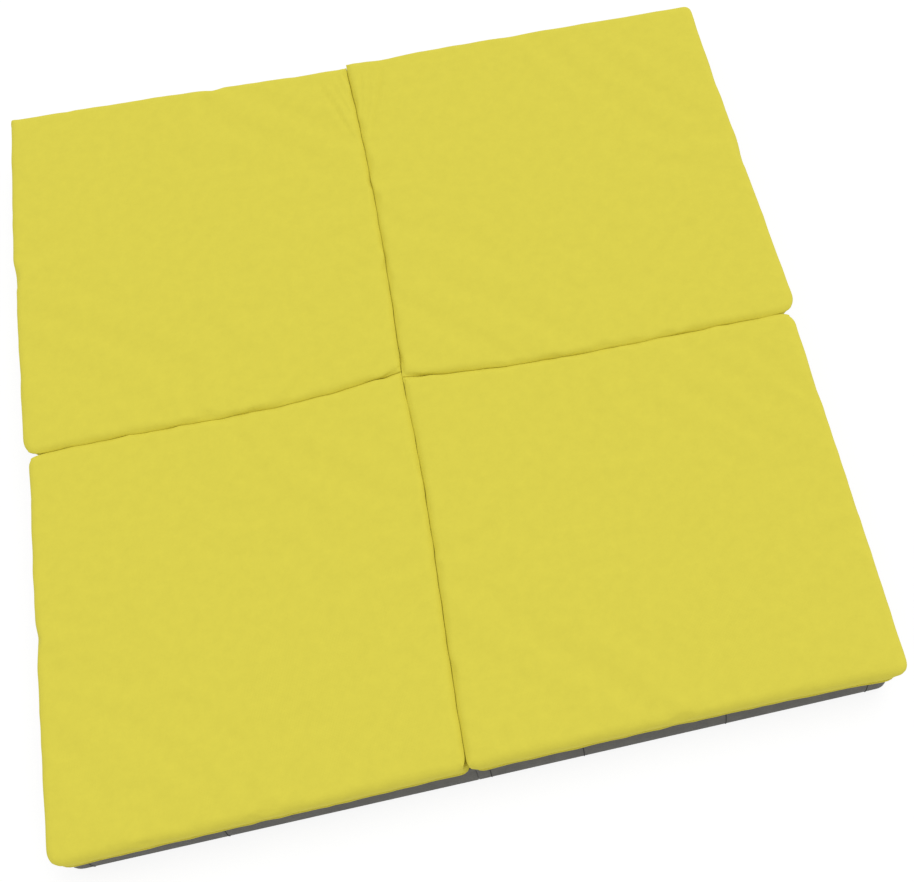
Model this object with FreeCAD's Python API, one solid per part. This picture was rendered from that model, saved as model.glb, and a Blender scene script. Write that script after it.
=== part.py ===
"""Folding foam sleeping pad: four padded panels in a two by two layout, lying flat.

Millimetres. +Z is up, +Y points to the back of the pad and +X to its right.
The origin lies on the underside, at the middle of the whole pad.

The rear seam joins the two rear panels at the level of the upper cover.
The left and right seams join each front panel to the rear panel behind it at the level of the base.
The front seam is an open slit, so the pad folds into a square stack of four panels.
"""
import FreeCAD
import Part
import math
import os

# ---- overall sizes ----
PAD_WIDTH = 1200.0
PAD_DEPTH = 1200.0
THICKNESS = 90.0
PANEL_GAP = 4.0

# ---- padded panel ----
PLAN_CORNER_RADIUS = 24.0
TOP_EDGE_RADIUS = 14.0
COVER_THICKNESS = 1.5
SEAM_HEIGHT = 45.0
SEAM_LIP_HEIGHT = 2.0
SEAM_LIP_PROUD = 1.0
BASE_FOAM_HEIGHT = 30.0

# ---- fabric hinges ----
FOLD_CLEARANCE = 0.3
WEB_TO_AXIS = 0.2
WEB_TO_LIP = 10.0
BASE_WEB_HEIGHT = 1.2
WEB_END_MARGIN = 6.0

# ---- zip on the outer wall of each panel ----
ZIP_END_MARGIN = 25.0
ZIP_HEIGHT = 26.0
TAPE_WIDTH = 14.0
TAPE_THICKNESS = 1.0
TAPE_SPLIT = 1.6
COIL_WIDTH = 4.0
COIL_DEPTH = 1.6
COIL_EDGE_RADIUS = 0.6
STOP_LENGTH = 3.0
STOP_LUG = 1.0

# ---- zip slider and pull ----
RUNNING_GAP = 0.3
SLIDER_LENGTH = 9.0
SLIDER_CHEEK = 1.7
SLIDER_SKIN = 1.0
SLIDER_CORNER_RADIUS = 1.5
BRIDGE_LENGTH = 7.0
BRIDGE_WIDTH = 1.6
BRIDGE_BAR = 0.8
BRIDGE_POST = 1.1
PULL_THICKNESS = 1.0
PULL_PIN_GAP = 0.2
PULL_ARM_WIDTH = 1.0
PULL_ARM_GAP = 0.5
PULL_LENGTH = 22.0
PULL_SWEEP_GAP = 0.4
PULL_HOLE_LENGTH = 9.0
PULL_HOLE_MARGIN = 2.0

# ---- derived sizes ----
HALF_GAP = PANEL_GAP / 2
PANEL_WIDTH = PAD_WIDTH / 2 - HALF_GAP
PANEL_DEPTH = PAD_DEPTH / 2 - HALF_GAP
LIP_BOTTOM = SEAM_HEIGHT - SEAM_LIP_HEIGHT / 2
LIP_TOP = SEAM_HEIGHT + SEAM_LIP_HEIGHT / 2
ZIP_LENGTH = PANEL_DEPTH - 2 * (PLAN_CORNER_RADIUS + ZIP_END_MARGIN)
STOP_WIDTH = COIL_WIDTH + 2 * STOP_LUG
SLIDER_WIDTH = COIL_WIDTH + 2 * (RUNNING_GAP + SLIDER_CHEEK)
TAPE_FACE = -(COVER_THICKNESS - TAPE_THICKNESS) / 2
COIL_FACE = TAPE_FACE + COIL_DEPTH
SLIDER_BACK = TAPE_FACE + RUNNING_GAP
SLIDER_FACE = COIL_FACE + RUNNING_GAP + SLIDER_SKIN
PIN_RADIUS = PULL_THICKNESS / 2
PIN_HEIGHT = SLIDER_FACE + PULL_PIN_GAP + PIN_RADIUS
BRIDGE_TOP = PIN_HEIGHT + PIN_RADIUS + PULL_PIN_GAP + BRIDGE_BAR
PULL_REACH = math.hypot(BRIDGE_LENGTH / 2, BRIDGE_TOP - PIN_HEIGHT) + PULL_SWEEP_GAP
SLIDER_START = ZIP_LENGTH / 2 - STOP_LENGTH - RUNNING_GAP - SLIDER_LENGTH / 2

OUT = "parts"
os.makedirs(OUT, exist_ok=True)


def save(name, shape):
    """Write one closed solid as a node of its own."""
    solid = shape.Solids[0] if len(shape.Solids) == 1 else shape
    solid.exportStep(os.path.join(OUT, name + ".step"))


def block(x0, x1, y0, y1, z0, z1):
    """Box given by its lowest and highest coordinates."""
    return Part.makeBox(x1 - x0, y1 - y0, z1 - z0, FreeCAD.Vector(x0, y0, z0))


def edges_at_height(shape, height):
    """Edges that lie wholly in one level plane."""
    found = []
    for edge in shape.Edges:
        box = edge.BoundBox
        if abs(box.ZMin - height) < 1e-6 and abs(box.ZMax - height) < 1e-6:
            found.append(edge)
    return found


def upright_edges(shape):
    """Straight edges that run along Z."""
    found = []
    for edge in shape.Edges:
        box = edge.BoundBox
        if box.XLength < 1e-6 and box.YLength < 1e-6:
            found.append(edge)
    return found


def rounded_slab(inset, z0, z1, top_radius):
    """Slab of one panel around its own middle, with round plan corners and a round top edge."""
    half_w = PANEL_WIDTH / 2 - inset
    half_d = PANEL_DEPTH / 2 - inset
    slab = block(-half_w, half_w, -half_d, half_d, z0, z1)
    slab = slab.makeFillet(PLAN_CORNER_RADIUS - inset, upright_edges(slab))
    if top_radius > 0:
        slab = slab.makeFillet(top_radius, edges_at_height(slab, z1))
    return slab


def panel_outside():
    """Outer form of one padded panel."""
    return rounded_slab(0, 0, THICKNESS, TOP_EDGE_RADIUS)


def panel_inside():
    """Space inside the covers of one panel, which the foam fills."""
    top = THICKNESS - COVER_THICKNESS
    return rounded_slab(COVER_THICKNESS, COVER_THICKNESS, top, TOP_EDGE_RADIUS - COVER_THICKNESS)


def level_cut(shape, z0, z1):
    """The part of a panel shape between two heights."""
    return shape.common(block(-PAD_WIDTH, PAD_WIDTH, -PAD_DEPTH, PAD_DEPTH, z0, z1))


def zip_window(side):
    """Slot through the base cover that the zip tapes fill; side is -1 left, +1 right."""
    outer = PANEL_WIDTH / 2
    inner = outer - COVER_THICKNESS
    half = TAPE_WIDTH / 2
    slot = block(inner, outer, -ZIP_LENGTH / 2, ZIP_LENGTH / 2, ZIP_HEIGHT - half, ZIP_HEIGHT + half)
    return mirrored(slot, side)


def mirrored(shape, side):
    """A right-hand shape as it is, or its mirror image for the left."""
    if side > 0:
        return shape
    return shape.mirror(FreeCAD.Vector(0, 0, 0), FreeCAD.Vector(1, 0, 0))


def top_cover():
    """Upper cover: top face, round top edge and the upper half of the walls."""
    return level_cut(panel_outside().cut(panel_inside()), LIP_TOP, THICKNESS)


def base_cover(side):
    """Base cover: underside and the lower half of the walls, with the slot for the zip."""
    shell = level_cut(panel_outside().cut(panel_inside()), 0, LIP_BOTTOM)
    return shell.cut(zip_window(side))


def seam_lip():
    """Stitched lip that joins the two covers all round the panel."""
    ring = rounded_slab(-SEAM_LIP_PROUD, LIP_BOTTOM, LIP_TOP, 0)
    return ring.cut(rounded_slab(COVER_THICKNESS, LIP_BOTTOM, LIP_TOP, 0))


def comfort_foam():
    """Soft upper foam layer."""
    return level_cut(panel_inside(), BASE_FOAM_HEIGHT, THICKNESS)


def base_foam():
    """Firm lower foam layer."""
    return level_cut(panel_inside(), 0, BASE_FOAM_HEIGHT)


def on_outer_wall(shape, side):
    """Move a zip piece from its own frame to the outer wall: X outward from the wall face."""
    moved = shape.translated(FreeCAD.Vector(PANEL_WIDTH / 2, 0, ZIP_HEIGHT))
    return mirrored(moved, side)


def zip_tape(side, level):
    """One of the two woven tapes; level is -1 for the lower one, +1 for the upper one."""
    near = TAPE_SPLIT / 2
    far = TAPE_WIDTH / 2
    z0, z1 = (near, far) if level > 0 else (-far, -near)
    back = TAPE_FACE - TAPE_THICKNESS
    tape = block(back, TAPE_FACE, -ZIP_LENGTH / 2, ZIP_LENGTH / 2, z0, z1)
    return on_outer_wall(tape, side)


def zip_coil(side):
    """Closed row of coils on the tapes, with a stop at each end."""
    half = ZIP_LENGTH / 2
    coil = block(TAPE_FACE, COIL_FACE, -half, half, -COIL_WIDTH / 2, COIL_WIDTH / 2)
    outer_edges = []
    for edge in coil.Edges:
        box = edge.BoundBox
        if abs(box.XMin - COIL_FACE) < 1e-6 and box.ZLength < 1e-6:
            outer_edges.append(edge)
    coil = coil.makeFillet(COIL_EDGE_RADIUS, outer_edges)
    for end in (-1, 1):
        y0 = end * half if end < 0 else half - STOP_LENGTH
        stop = block(TAPE_FACE, COIL_FACE, y0, y0 + STOP_LENGTH, -STOP_WIDTH / 2, STOP_WIDTH / 2)
        coil = coil.fuse(stop)
    return on_outer_wall(coil.removeSplitter(), side)


def slider_body():
    """Slider straddling the coil, with the bridge that keeps the pull."""
    half = SLIDER_LENGTH / 2
    body = block(SLIDER_BACK, SLIDER_FACE, -half, half, -SLIDER_WIDTH / 2, SLIDER_WIDTH / 2)
    corners = []
    for edge in body.Edges:
        box = edge.BoundBox
        if box.YLength < 1e-6 and box.ZLength < 1e-6:
            corners.append(edge)
    body = body.makeFillet(SLIDER_CORNER_RADIUS, corners)
    run = COIL_WIDTH / 2 + RUNNING_GAP
    body = body.cut(block(SLIDER_BACK - 1, COIL_FACE + RUNNING_GAP, -half - 1, half + 1, -run, run))
    reach = BRIDGE_LENGTH / 2
    bridge = block(SLIDER_FACE, BRIDGE_TOP, -reach, reach, -BRIDGE_WIDTH / 2, BRIDGE_WIDTH / 2)
    under = BRIDGE_TOP - BRIDGE_BAR
    room = reach - BRIDGE_POST
    bridge = bridge.cut(block(SLIDER_FACE, under, -room, room, -BRIDGE_WIDTH, BRIDGE_WIDTH))
    return body.fuse(bridge).removeSplitter()


def pull_tab():
    """Pull with a round pin under the bridge, two arms beside it and a tab with a slot."""
    arm_in = BRIDGE_WIDTH / 2 + PULL_ARM_GAP
    arm_out = arm_in + PULL_ARM_WIDTH
    low = PIN_HEIGHT - PIN_RADIUS
    high = PIN_HEIGHT + PIN_RADIUS
    pin = Part.makeCylinder(PIN_RADIUS, 2 * arm_out, FreeCAD.Vector(PIN_HEIGHT, 0, -arm_out))
    tab = block(low, high, -PULL_LENGTH, -PULL_REACH, -arm_out, arm_out)
    hole_far = PULL_LENGTH - PULL_HOLE_MARGIN
    hole_near = hole_far - PULL_HOLE_LENGTH
    tab = tab.cut(block(low - 1, high + 1, -hole_far, -hole_near, -arm_in, arm_in))
    for side in (-1, 1):
        z0 = arm_in if side > 0 else -arm_out
        tab = tab.fuse(block(low, high, -PULL_REACH, 0, z0, z0 + PULL_ARM_WIDTH))
        boss = Part.makeCylinder(PIN_RADIUS, PULL_ARM_WIDTH, FreeCAD.Vector(PIN_HEIGHT, 0, z0))
        tab = tab.fuse(boss)
    return tab.fuse(pin).removeSplitter()


def top_web(side):
    """Half of the rear seam's fabric hinge: a fin on the inner wall that ends at the fold line."""
    axis_z = THICKNESS + FOLD_CLEARANCE
    z0 = LIP_TOP + WEB_TO_LIP
    z1 = axis_z - WEB_TO_AXIS
    run = PANEL_DEPTH - 2 * (PLAN_CORNER_RADIUS + WEB_END_MARGIN)
    y0 = HALF_GAP + PLAN_CORNER_RADIUS + WEB_END_MARGIN
    web = block(WEB_TO_AXIS, HALF_GAP, y0, y0 + run, z0, z1)
    return mirrored(web, side)


def base_web(side, depth_side):
    """Half of a side seam's fabric hinge: a strip at floor level; depth_side +1 rear, -1 front."""
    run = PANEL_WIDTH - 2 * (PLAN_CORNER_RADIUS + WEB_END_MARGIN)
    x0 = HALF_GAP + PLAN_CORNER_RADIUS + WEB_END_MARGIN
    y0, y1 = (WEB_TO_AXIS, HALF_GAP) if depth_side > 0 else (-HALF_GAP, -WEB_TO_AXIS)
    web = block(x0, x0 + run, y0, y1, 0, BASE_WEB_HEIGHT)
    return mirrored(web, side)


def make_panel(name, side, depth_side):
    """All the pieces of one panel, moved to the panel's place in the pad."""
    centre = FreeCAD.Vector(side * (HALF_GAP + PANEL_WIDTH / 2), depth_side * (HALF_GAP + PANEL_DEPTH / 2), 0)
    save(name + "_comfort_foam", comfort_foam().translated(centre))
    save(name + "_base_foam", base_foam().translated(centre))
    save(name + "_top_cover", top_cover().translated(centre))
    save(name + "_base_cover", base_cover(side).translated(centre))
    save(name + "_seam_lip", seam_lip().translated(centre))
    save(name + "_zip_tape_upper", zip_tape(side, 1).translated(centre))
    save(name + "_zip_tape_lower", zip_tape(side, -1).translated(centre))
    save(name + "_zip_coil", zip_coil(side).translated(centre))
    at_start = centre + FreeCAD.Vector(0, SLIDER_START, 0)
    save(name + "_zip_slider", on_outer_wall(slider_body(), side).translated(at_start))
    save(name + "_zip_pull", on_outer_wall(pull_tab(), side).translated(at_start))


def make_hinges():
    """The two halves of each of the three fabric hinges."""
    save("rear_hinge_web_left", top_web(-1))
    save("rear_hinge_web_right", top_web(1))
    save("left_hinge_web_rear", base_web(-1, 1))
    save("left_hinge_web_front", base_web(-1, -1))
    save("right_hinge_web_rear", base_web(1, 1))
    save("right_hinge_web_front", base_web(1, -1))


make_panel("rear_left", -1, 1)
make_panel("rear_right", 1, 1)
make_panel("front_left", -1, -1)
make_panel("front_right", 1, -1)
make_hinges()
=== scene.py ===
"""Folding foam sleeping pad: soft covers, seams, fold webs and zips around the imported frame."""

import logging
import math
from dataclasses import dataclass, field
from enum import Enum

import bpy
import numpy as np
from mathutils import Euler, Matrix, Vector, noise


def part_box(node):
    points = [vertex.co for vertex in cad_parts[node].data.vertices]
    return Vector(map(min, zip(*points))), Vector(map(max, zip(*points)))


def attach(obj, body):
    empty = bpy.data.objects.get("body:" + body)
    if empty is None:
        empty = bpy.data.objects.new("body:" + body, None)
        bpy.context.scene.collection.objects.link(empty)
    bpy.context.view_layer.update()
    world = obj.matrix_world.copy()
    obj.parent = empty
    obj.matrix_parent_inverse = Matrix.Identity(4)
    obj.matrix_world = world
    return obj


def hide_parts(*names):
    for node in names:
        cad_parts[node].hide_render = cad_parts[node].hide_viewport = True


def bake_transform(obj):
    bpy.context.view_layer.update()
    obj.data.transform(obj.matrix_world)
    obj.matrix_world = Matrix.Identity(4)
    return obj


log = logging.getLogger("pad")
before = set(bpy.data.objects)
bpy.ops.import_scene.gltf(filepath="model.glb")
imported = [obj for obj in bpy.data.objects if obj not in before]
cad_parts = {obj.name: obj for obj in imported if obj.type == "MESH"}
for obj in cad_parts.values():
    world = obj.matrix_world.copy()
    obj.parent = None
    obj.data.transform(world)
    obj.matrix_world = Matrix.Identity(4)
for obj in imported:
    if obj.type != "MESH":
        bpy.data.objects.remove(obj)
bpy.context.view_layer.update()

MM = 0.001
TOP_LEVEL = 1000
UNDERSIDE_LEVEL = -1
UP = np.array([0.0, 0.0, 1.0])


class Side(Enum):
    """Left or right of the pad's middle."""

    LEFT = -1
    RIGHT = 1


class Row(Enum):
    """Front or rear pair of panels."""

    FRONT = -1
    REAR = 1


# ---------------------------------------------------------------- helpers


def smoothstep(value: np.ndarray, low: float, high: float) -> np.ndarray:
    """Ramp from 0 at low to 1 at high with soft ends.

    Args:
        value: Values to map.
        low: Value that gives 0.
        high: Value that gives 1.

    Returns:
        The ramp, same shape as value.
    """
    t = np.clip((value - low) / (high - low), 0.0, 1.0)
    return t * t * (3 - 2 * t)


def new_mesh(
    name: str, verts: np.ndarray, faces: list[tuple[int, ...]], smooth: bool = True
) -> bpy.types.Object:
    """Make a mesh object and link it to the scene.

    Args:
        name: Name of the piece.
        verts: Points, metres, in the pad's frame.
        faces: Corner indices of each face.
        smooth: Whether its faces are shaded smooth.

    Returns:
        The new object.
    """
    mesh = bpy.data.meshes.new(name)
    mesh.from_pydata([tuple(map(float, v)) for v in verts], [], faces)
    mesh.validate()
    mesh.update()
    if smooth:
        mesh.shade_smooth()
    piece = bpy.data.objects.new(name, mesh)
    bpy.context.scene.collection.objects.link(piece)
    return piece


def only_used(verts: np.ndarray, faces: list[tuple[int, ...]]) -> tuple[np.ndarray, list[tuple[int, ...]]]:
    """Drop the points that no face uses.

    Args:
        verts: All points.
        faces: The faces that are kept.

    Returns:
        The used points and the renumbered faces.
    """
    used = sorted({i for face in faces for i in face})
    number = {old: new for new, old in enumerate(used)}
    return verts[used], [tuple(number[i] for i in face) for face in faces]


def add_subdivision(piece: bpy.types.Object, levels: int) -> None:
    """Round a piece's mesh with a subdivision surface.

    Args:
        piece: The mesh object.
        levels: How many times each face is split.
    """
    sub = piece.modifiers.new("round", "SUBSURF")
    sub.levels = levels
    sub.render_levels = levels


def add_thickness(piece: bpy.types.Object, thickness: float) -> None:
    """Give a skin its cloth thickness, inwards.

    Args:
        piece: The skin.
        thickness: Thickness of the cloth.
    """
    solid = piece.modifiers.new("cloth", "SOLIDIFY")
    solid.thickness = thickness
    solid.offset = -1.0


def graded_lines(half: float, near: float, growth: float, far: float) -> np.ndarray:
    """Grid lines over a width, close together at both edges and even in the middle.

    Args:
        half: Half of the width.
        near: First step at the edge.
        growth: Ratio of each step to the one before it.
        far: Largest step.

    Returns:
        Positions from -half to half.
    """
    inward = [0.0]
    step = near
    while step < far:
        inward.append(inward[-1] + step)
        step *= growth
    left = half - inward[-1]
    count = max(1, round(left / far))
    inward += [inward[-1] + left * (i + 1) / count for i in range(count)]
    right = np.array([half - d for d in inward])[::-1]
    return np.concatenate([-right[::-1], right[1:]])


# ---------------------------------------------------------------- finishes


@dataclass(frozen=True)
class WovenCloth:
    """Matte woven fabric with a fine thread relief, faint mottling and soft sheen."""

    name: str
    color: tuple[float, float, float]
    mottle: float = 0.012
    mottle_size: float = 14.0
    threads: float = 900.0
    relief: float = 0.12
    sheen: float = 0.25
    roughness: float = 0.92
    gloss: float = 0.18
    sheen_spread: float = 0.6
    mottle_detail: float = 5.0
    mottle_roughness: float = 0.62
    fleck_detail: float = 2.0
    fleck_share: float = 0.35
    mottle_low: float = 0.45
    mottle_high: float = 0.9
    thread_height: float = 0.6 * MM
    thread_waver: float = 1.2

    def make(self) -> bpy.types.Material:
        """Build the material.

        Returns:
            The new material.
        """
        mat, nodes, links, shader = blank_material(self.name)
        shader.inputs["Roughness"].default_value = self.roughness
        shader.inputs["Specular IOR Level"].default_value = self.gloss
        shader.inputs["Sheen Weight"].default_value = self.sheen
        shader.inputs["Sheen Roughness"].default_value = self.sheen_spread
        coords = nodes.new("ShaderNodeTexCoord")
        broad = nodes.new("ShaderNodeTexNoise")
        broad.inputs["Scale"].default_value = self.mottle_size
        broad.inputs["Detail"].default_value = self.mottle_detail
        broad.inputs["Roughness"].default_value = self.mottle_roughness
        links.new(coords.outputs["Object"], broad.inputs["Vector"])
        fleck = nodes.new("ShaderNodeTexNoise")
        fleck.inputs["Scale"].default_value = self.threads / 3
        fleck.inputs["Detail"].default_value = self.fleck_detail
        links.new(coords.outputs["Object"], fleck.inputs["Vector"])
        both = nodes.new("ShaderNodeMath")
        both.operation = "MULTIPLY_ADD"
        both.inputs[1].default_value = self.fleck_share
        links.new(fleck.outputs["Fac"], both.inputs[0])
        links.new(broad.outputs["Fac"], both.inputs[2])
        ramp = nodes.new("ShaderNodeMapRange")
        ramp.inputs["From Min"].default_value = self.mottle_low
        ramp.inputs["From Max"].default_value = self.mottle_high
        ramp.inputs["To Min"].default_value = 1.0 - self.mottle
        ramp.inputs["To Max"].default_value = 1.0 + self.mottle
        links.new(both.outputs[0], ramp.inputs["Value"])
        tint = nodes.new("ShaderNodeVectorMath")
        tint.operation = "SCALE"
        tint.inputs[0].default_value = self.color
        links.new(ramp.outputs["Result"], tint.inputs["Scale"])
        links.new(tint.outputs["Vector"], shader.inputs["Base Color"])
        relief = self.weave(nodes, links, coords)
        bump = nodes.new("ShaderNodeBump")
        bump.inputs["Strength"].default_value = self.relief
        bump.inputs["Distance"].default_value = self.thread_height
        links.new(relief, bump.inputs["Height"])
        links.new(bump.outputs["Normal"], shader.inputs["Normal"])
        return mat

    def weave(
        self, nodes: bpy.types.Nodes, links: bpy.types.NodeLinks, coords: bpy.types.Node
    ) -> bpy.types.NodeSocket:
        """Crossed threads as a height.

        Args:
            nodes: The material's nodes.
            links: The material's links.
            coords: Texture coordinate node.

        Returns:
            Socket with the height.
        """
        heights = []
        for direction in ("X", "Y", "Z"):
            wave = nodes.new("ShaderNodeTexWave")
            wave.wave_type = "BANDS"
            wave.bands_direction = direction
            wave.inputs["Scale"].default_value = self.threads / 6
            wave.inputs["Distortion"].default_value = self.thread_waver
            wave.inputs["Detail"].default_value = 1.0
            links.new(coords.outputs["Object"], wave.inputs["Vector"])
            heights.append(wave.outputs["Fac"])
        first = nodes.new("ShaderNodeMath")
        first.operation = "MAXIMUM"
        links.new(heights[0], first.inputs[0])
        links.new(heights[1], first.inputs[1])
        second = nodes.new("ShaderNodeMath")
        second.operation = "ADD"
        links.new(first.outputs[0], second.inputs[0])
        links.new(heights[2], second.inputs[1])
        return second.outputs[0]


@dataclass(frozen=True)
class PlainFinish:
    """One-colour finish with a fine grain, for foam, nylon and metal."""

    name: str
    color: tuple[float, float, float]
    roughness: float
    metallic: float = 0.0
    grain_size: float = 300.0
    grain: float = 0.2
    grain_detail: float = 3.0
    grain_height: float = 0.5 * MM

    def make(self) -> bpy.types.Material:
        """Build the material.

        Returns:
            The new material.
        """
        mat, nodes, links, shader = blank_material(self.name)
        shader.inputs["Base Color"].default_value = (*self.color, 1.0)
        shader.inputs["Roughness"].default_value = self.roughness
        shader.inputs["Metallic"].default_value = self.metallic
        coords = nodes.new("ShaderNodeTexCoord")
        grain = nodes.new("ShaderNodeTexNoise")
        grain.inputs["Scale"].default_value = self.grain_size
        grain.inputs["Detail"].default_value = self.grain_detail
        links.new(coords.outputs["Object"], grain.inputs["Vector"])
        bump = nodes.new("ShaderNodeBump")
        bump.inputs["Strength"].default_value = self.grain
        bump.inputs["Distance"].default_value = self.grain_height
        links.new(grain.outputs["Fac"], bump.inputs["Height"])
        links.new(bump.outputs["Normal"], shader.inputs["Normal"])
        return mat


def blank_material(
    name: str,
) -> tuple[bpy.types.Material, bpy.types.Nodes, bpy.types.NodeLinks, bpy.types.Node]:
    """Start a material with one shader joined to its output.

    Args:
        name: Name of the material.

    Returns:
        The material, its nodes, its links and the shader.
    """
    mat = bpy.data.materials.new(name)
    mat.use_nodes = True
    nodes, links = mat.node_tree.nodes, mat.node_tree.links
    nodes.clear()
    out = nodes.new("ShaderNodeOutputMaterial")
    shader = nodes.new("ShaderNodeBsdfPrincipled")
    links.new(shader.outputs["BSDF"], out.inputs["Surface"])
    return mat, nodes, links, shader


@dataclass
class Finishes:
    """Every material of the pad, made once."""

    yellow: bpy.types.Material = field(init=False)
    yellow_edge: bpy.types.Material = field(init=False)
    yellow_thread: bpy.types.Material = field(init=False)
    grey: bpy.types.Material = field(init=False)
    grey_thread: bpy.types.Material = field(init=False)
    soft_foam: bpy.types.Material = field(init=False)
    firm_foam: bpy.types.Material = field(init=False)
    tape: bpy.types.Material = field(init=False)
    nylon: bpy.types.Material = field(init=False)
    metal: bpy.types.Material = field(init=False)

    def __post_init__(self) -> None:
        """Make the materials."""
        self.yellow = WovenCloth(
            "mustard_cover", (0.700, 0.626, 0.071), mottle=0.026, mottle_size=56, sheen=0.0
        ).make()
        self.yellow_edge = WovenCloth(
            "mustard_seam_edge", (0.690, 0.612, 0.071), relief=0.3, sheen=0.0
        ).make()
        self.yellow_thread = PlainFinish("mustard_thread", (0.60, 0.52, 0.07), 0.7).make()
        self.grey = WovenCloth(
            "grey_base_cloth", (0.122, 0.119, 0.108), mottle=0.12, mottle_size=40, relief=0.35, sheen=0.1
        ).make()
        self.grey_thread = PlainFinish("dark_thread", (0.02, 0.02, 0.018), 0.8).make()
        self.soft_foam = PlainFinish("cream_foam", (0.74, 0.70, 0.58), 0.95, grain_size=500, grain=0.6).make()
        self.firm_foam = PlainFinish("grey_foam", (0.30, 0.31, 0.33), 0.95, grain_size=350, grain=0.6).make()
        self.tape = WovenCloth("zip_tape_weave", (0.030, 0.030, 0.028), mottle=0.1, relief=0.6).make()
        self.nylon = PlainFinish("zip_nylon", (0.022, 0.022, 0.020), 0.42).make()
        self.metal = PlainFinish("zip_lacquer", (0.10, 0.10, 0.095), 0.35, metallic=0.8, grain=0.05).make()


# ---------------------------------------------------------------- soft shape


@dataclass(frozen=True)
class EdgeDrift:
    """How far one edge of a soft panel lies from its nominal line, in millimetres.

    start and end are at its low and high ends, bow is the middle, sway an S curve, and
    tuck a small step beside a seam in the wall at the share tuck_at of its length. ripple
    is the height of two faint waves, one finer than the other.
    """

    start: float
    end: float
    bow: float = 0.0
    sway: float = 0.0
    tuck: float = 0.0
    tuck_at: float = 0.5
    tuck_width: float = 0.03
    ripple: float = 0.0
    tuck_fade: float = 5.0
    ripple_count: float = 6.3
    fine_count: float = 13.7
    fine_share: float = 0.6

    def at(self, share: np.ndarray) -> np.ndarray:
        """Work out the drift along the edge.

        Args:
            share: Places on the edge, 0 at its low end to 1 at its high end.

        Returns:
            Drift in metres at each place.
        """
        s = np.clip(share, 0.0, 1.0)
        line = self.start * (1 - s) + self.end * s
        curve = self.bow * 4 * s * (1 - s) + self.sway * np.sin(2 * math.pi * s)
        away = (s - self.tuck_at) / self.tuck_width
        step = self.tuck * np.tanh(away) * np.exp(-np.abs(away) / self.tuck_fade)
        turns = 2 * math.pi * s
        wide = np.sin(turns * self.ripple_count + self.start)
        fine = np.sin(turns * self.fine_count + self.end)
        return (line + curve + step + self.ripple * (wide + self.fine_share * fine)) * MM


REAR_SEAM = EdgeDrift(-13.0, -15.5, bow=7.6, ripple=0.35)
FRONT_SEAM = EdgeDrift(-19.7, -13.2, bow=4.4, sway=-2.0, ripple=0.35)
LEFT_SEAM = EdgeDrift(-9.0, 10.4, bow=-9.5, sway=4.2, ripple=0.5)
RIGHT_SEAM = EdgeDrift(0.4, -16.7, bow=-10.4, sway=-2.6, ripple=0.5)


@dataclass(frozen=True)
class PanelDrift:
    """Drift of the four edges of one soft panel.

    front_ground is the drift at the foot of its front wall, and seam_ground the shift
    across at the foot of the open front seam, in millimetres.
    """

    left: EdgeDrift
    right: EdgeDrift
    front: EdgeDrift
    back: EdgeDrift
    front_ground: EdgeDrift = EdgeDrift(0.0, 0.0)
    seam_ground: float = 0.0


@dataclass(frozen=True)
class CornerRounding:
    """Plan radius of each corner of a panel, in millimetres."""

    back_left: float
    back_right: float
    front_left: float
    front_right: float

    def at(self, x: np.ndarray, y: np.ndarray) -> np.ndarray:
        """Pick the radius of the nearest corner.

        Args:
            x: Places across, from the panel's middle.
            y: Places along, from the panel's middle.

        Returns:
            Radius in metres at each place.
        """
        back = np.where(x < 0, self.back_left, self.back_right)
        front = np.where(x < 0, self.front_left, self.front_right)
        return np.where(y > 0, back, front) * MM


CORNERS = {
    "rear_left": CornerRounding(back_left=4, back_right=1, front_left=26, front_right=1),
    "rear_right": CornerRounding(back_left=3, back_right=14, front_left=1, front_right=28),
    "front_left": CornerRounding(back_left=14, back_right=1, front_left=24, front_right=16),
    "front_right": CornerRounding(back_left=1, back_right=20, front_left=15, front_right=20),
}
GROUND_CORNERS = {
    "rear_left": CornerRounding(back_left=12, back_right=1, front_left=44, front_right=1),
    "rear_right": CornerRounding(back_left=1, back_right=12, front_left=1, front_right=46),
    "front_left": CornerRounding(back_left=28, back_right=1, front_left=22, front_right=1),
    "front_right": CornerRounding(back_left=1, back_right=34, front_left=1, front_right=16),
}


@dataclass(frozen=True)
class PullFold:
    """Shallow fold from the rear edge to the rear seam, in millimetres.

    start is how far from the seam it begins at the rear edge, and length how far down
    the seam it would meet it.
    """

    start: float
    length: float
    depth: float
    width: float = 3.6
    fade_in: tuple[float, float] = (0.05, 0.25)
    fade_out: tuple[float, float] = (0.55, 0.95)

    def at(self, away: np.ndarray, down: np.ndarray) -> np.ndarray:
        """Work out how deep the fold is at places on the lying face.

        Args:
            away: Distances from the rear seam, metres.
            down: Distances from the rear edge, metres.

        Returns:
            Depth in metres at each place.
        """
        share = down / (self.length * MM)
        line = self.start * MM * (1 - share)
        ends = smoothstep(share, *self.fade_in) * (1 - smoothstep(share, *self.fade_out))
        return self.depth * MM * ends * np.exp(-(((away - line) / (self.width * MM)) ** 2))


FOLDS = {
    Side.LEFT: (PullFold(20.0, 105.0, 1.3), PullFold(37.0, 140.0, 1.5), PullFold(57.0, 190.0, 2.6)),
    Side.RIGHT: (PullFold(24.0, 150.0, 1.4), PullFold(42.0, 175.0, 1.6), PullFold(66.0, 192.0, 2.6)),
}
LIP_PROFILE = ((-1.2, -1.0), (0.3, -1.1), (0.8, -0.7), (1.0, 0.0), (0.8, 0.7), (0.3, 1.1), (-1.2, 1.0))
JOIN_PROFILE = ((-0.9, 0.5), (-0.5, -0.5), (0.5, -0.5), (0.9, 0.5))
WALL_SEAMS = {
    Side.LEFT: (-563 * MM, -371 * MM),
    Side.RIGHT: (9 * MM, 145 * MM, 355 * MM, 565 * MM),
}

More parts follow.
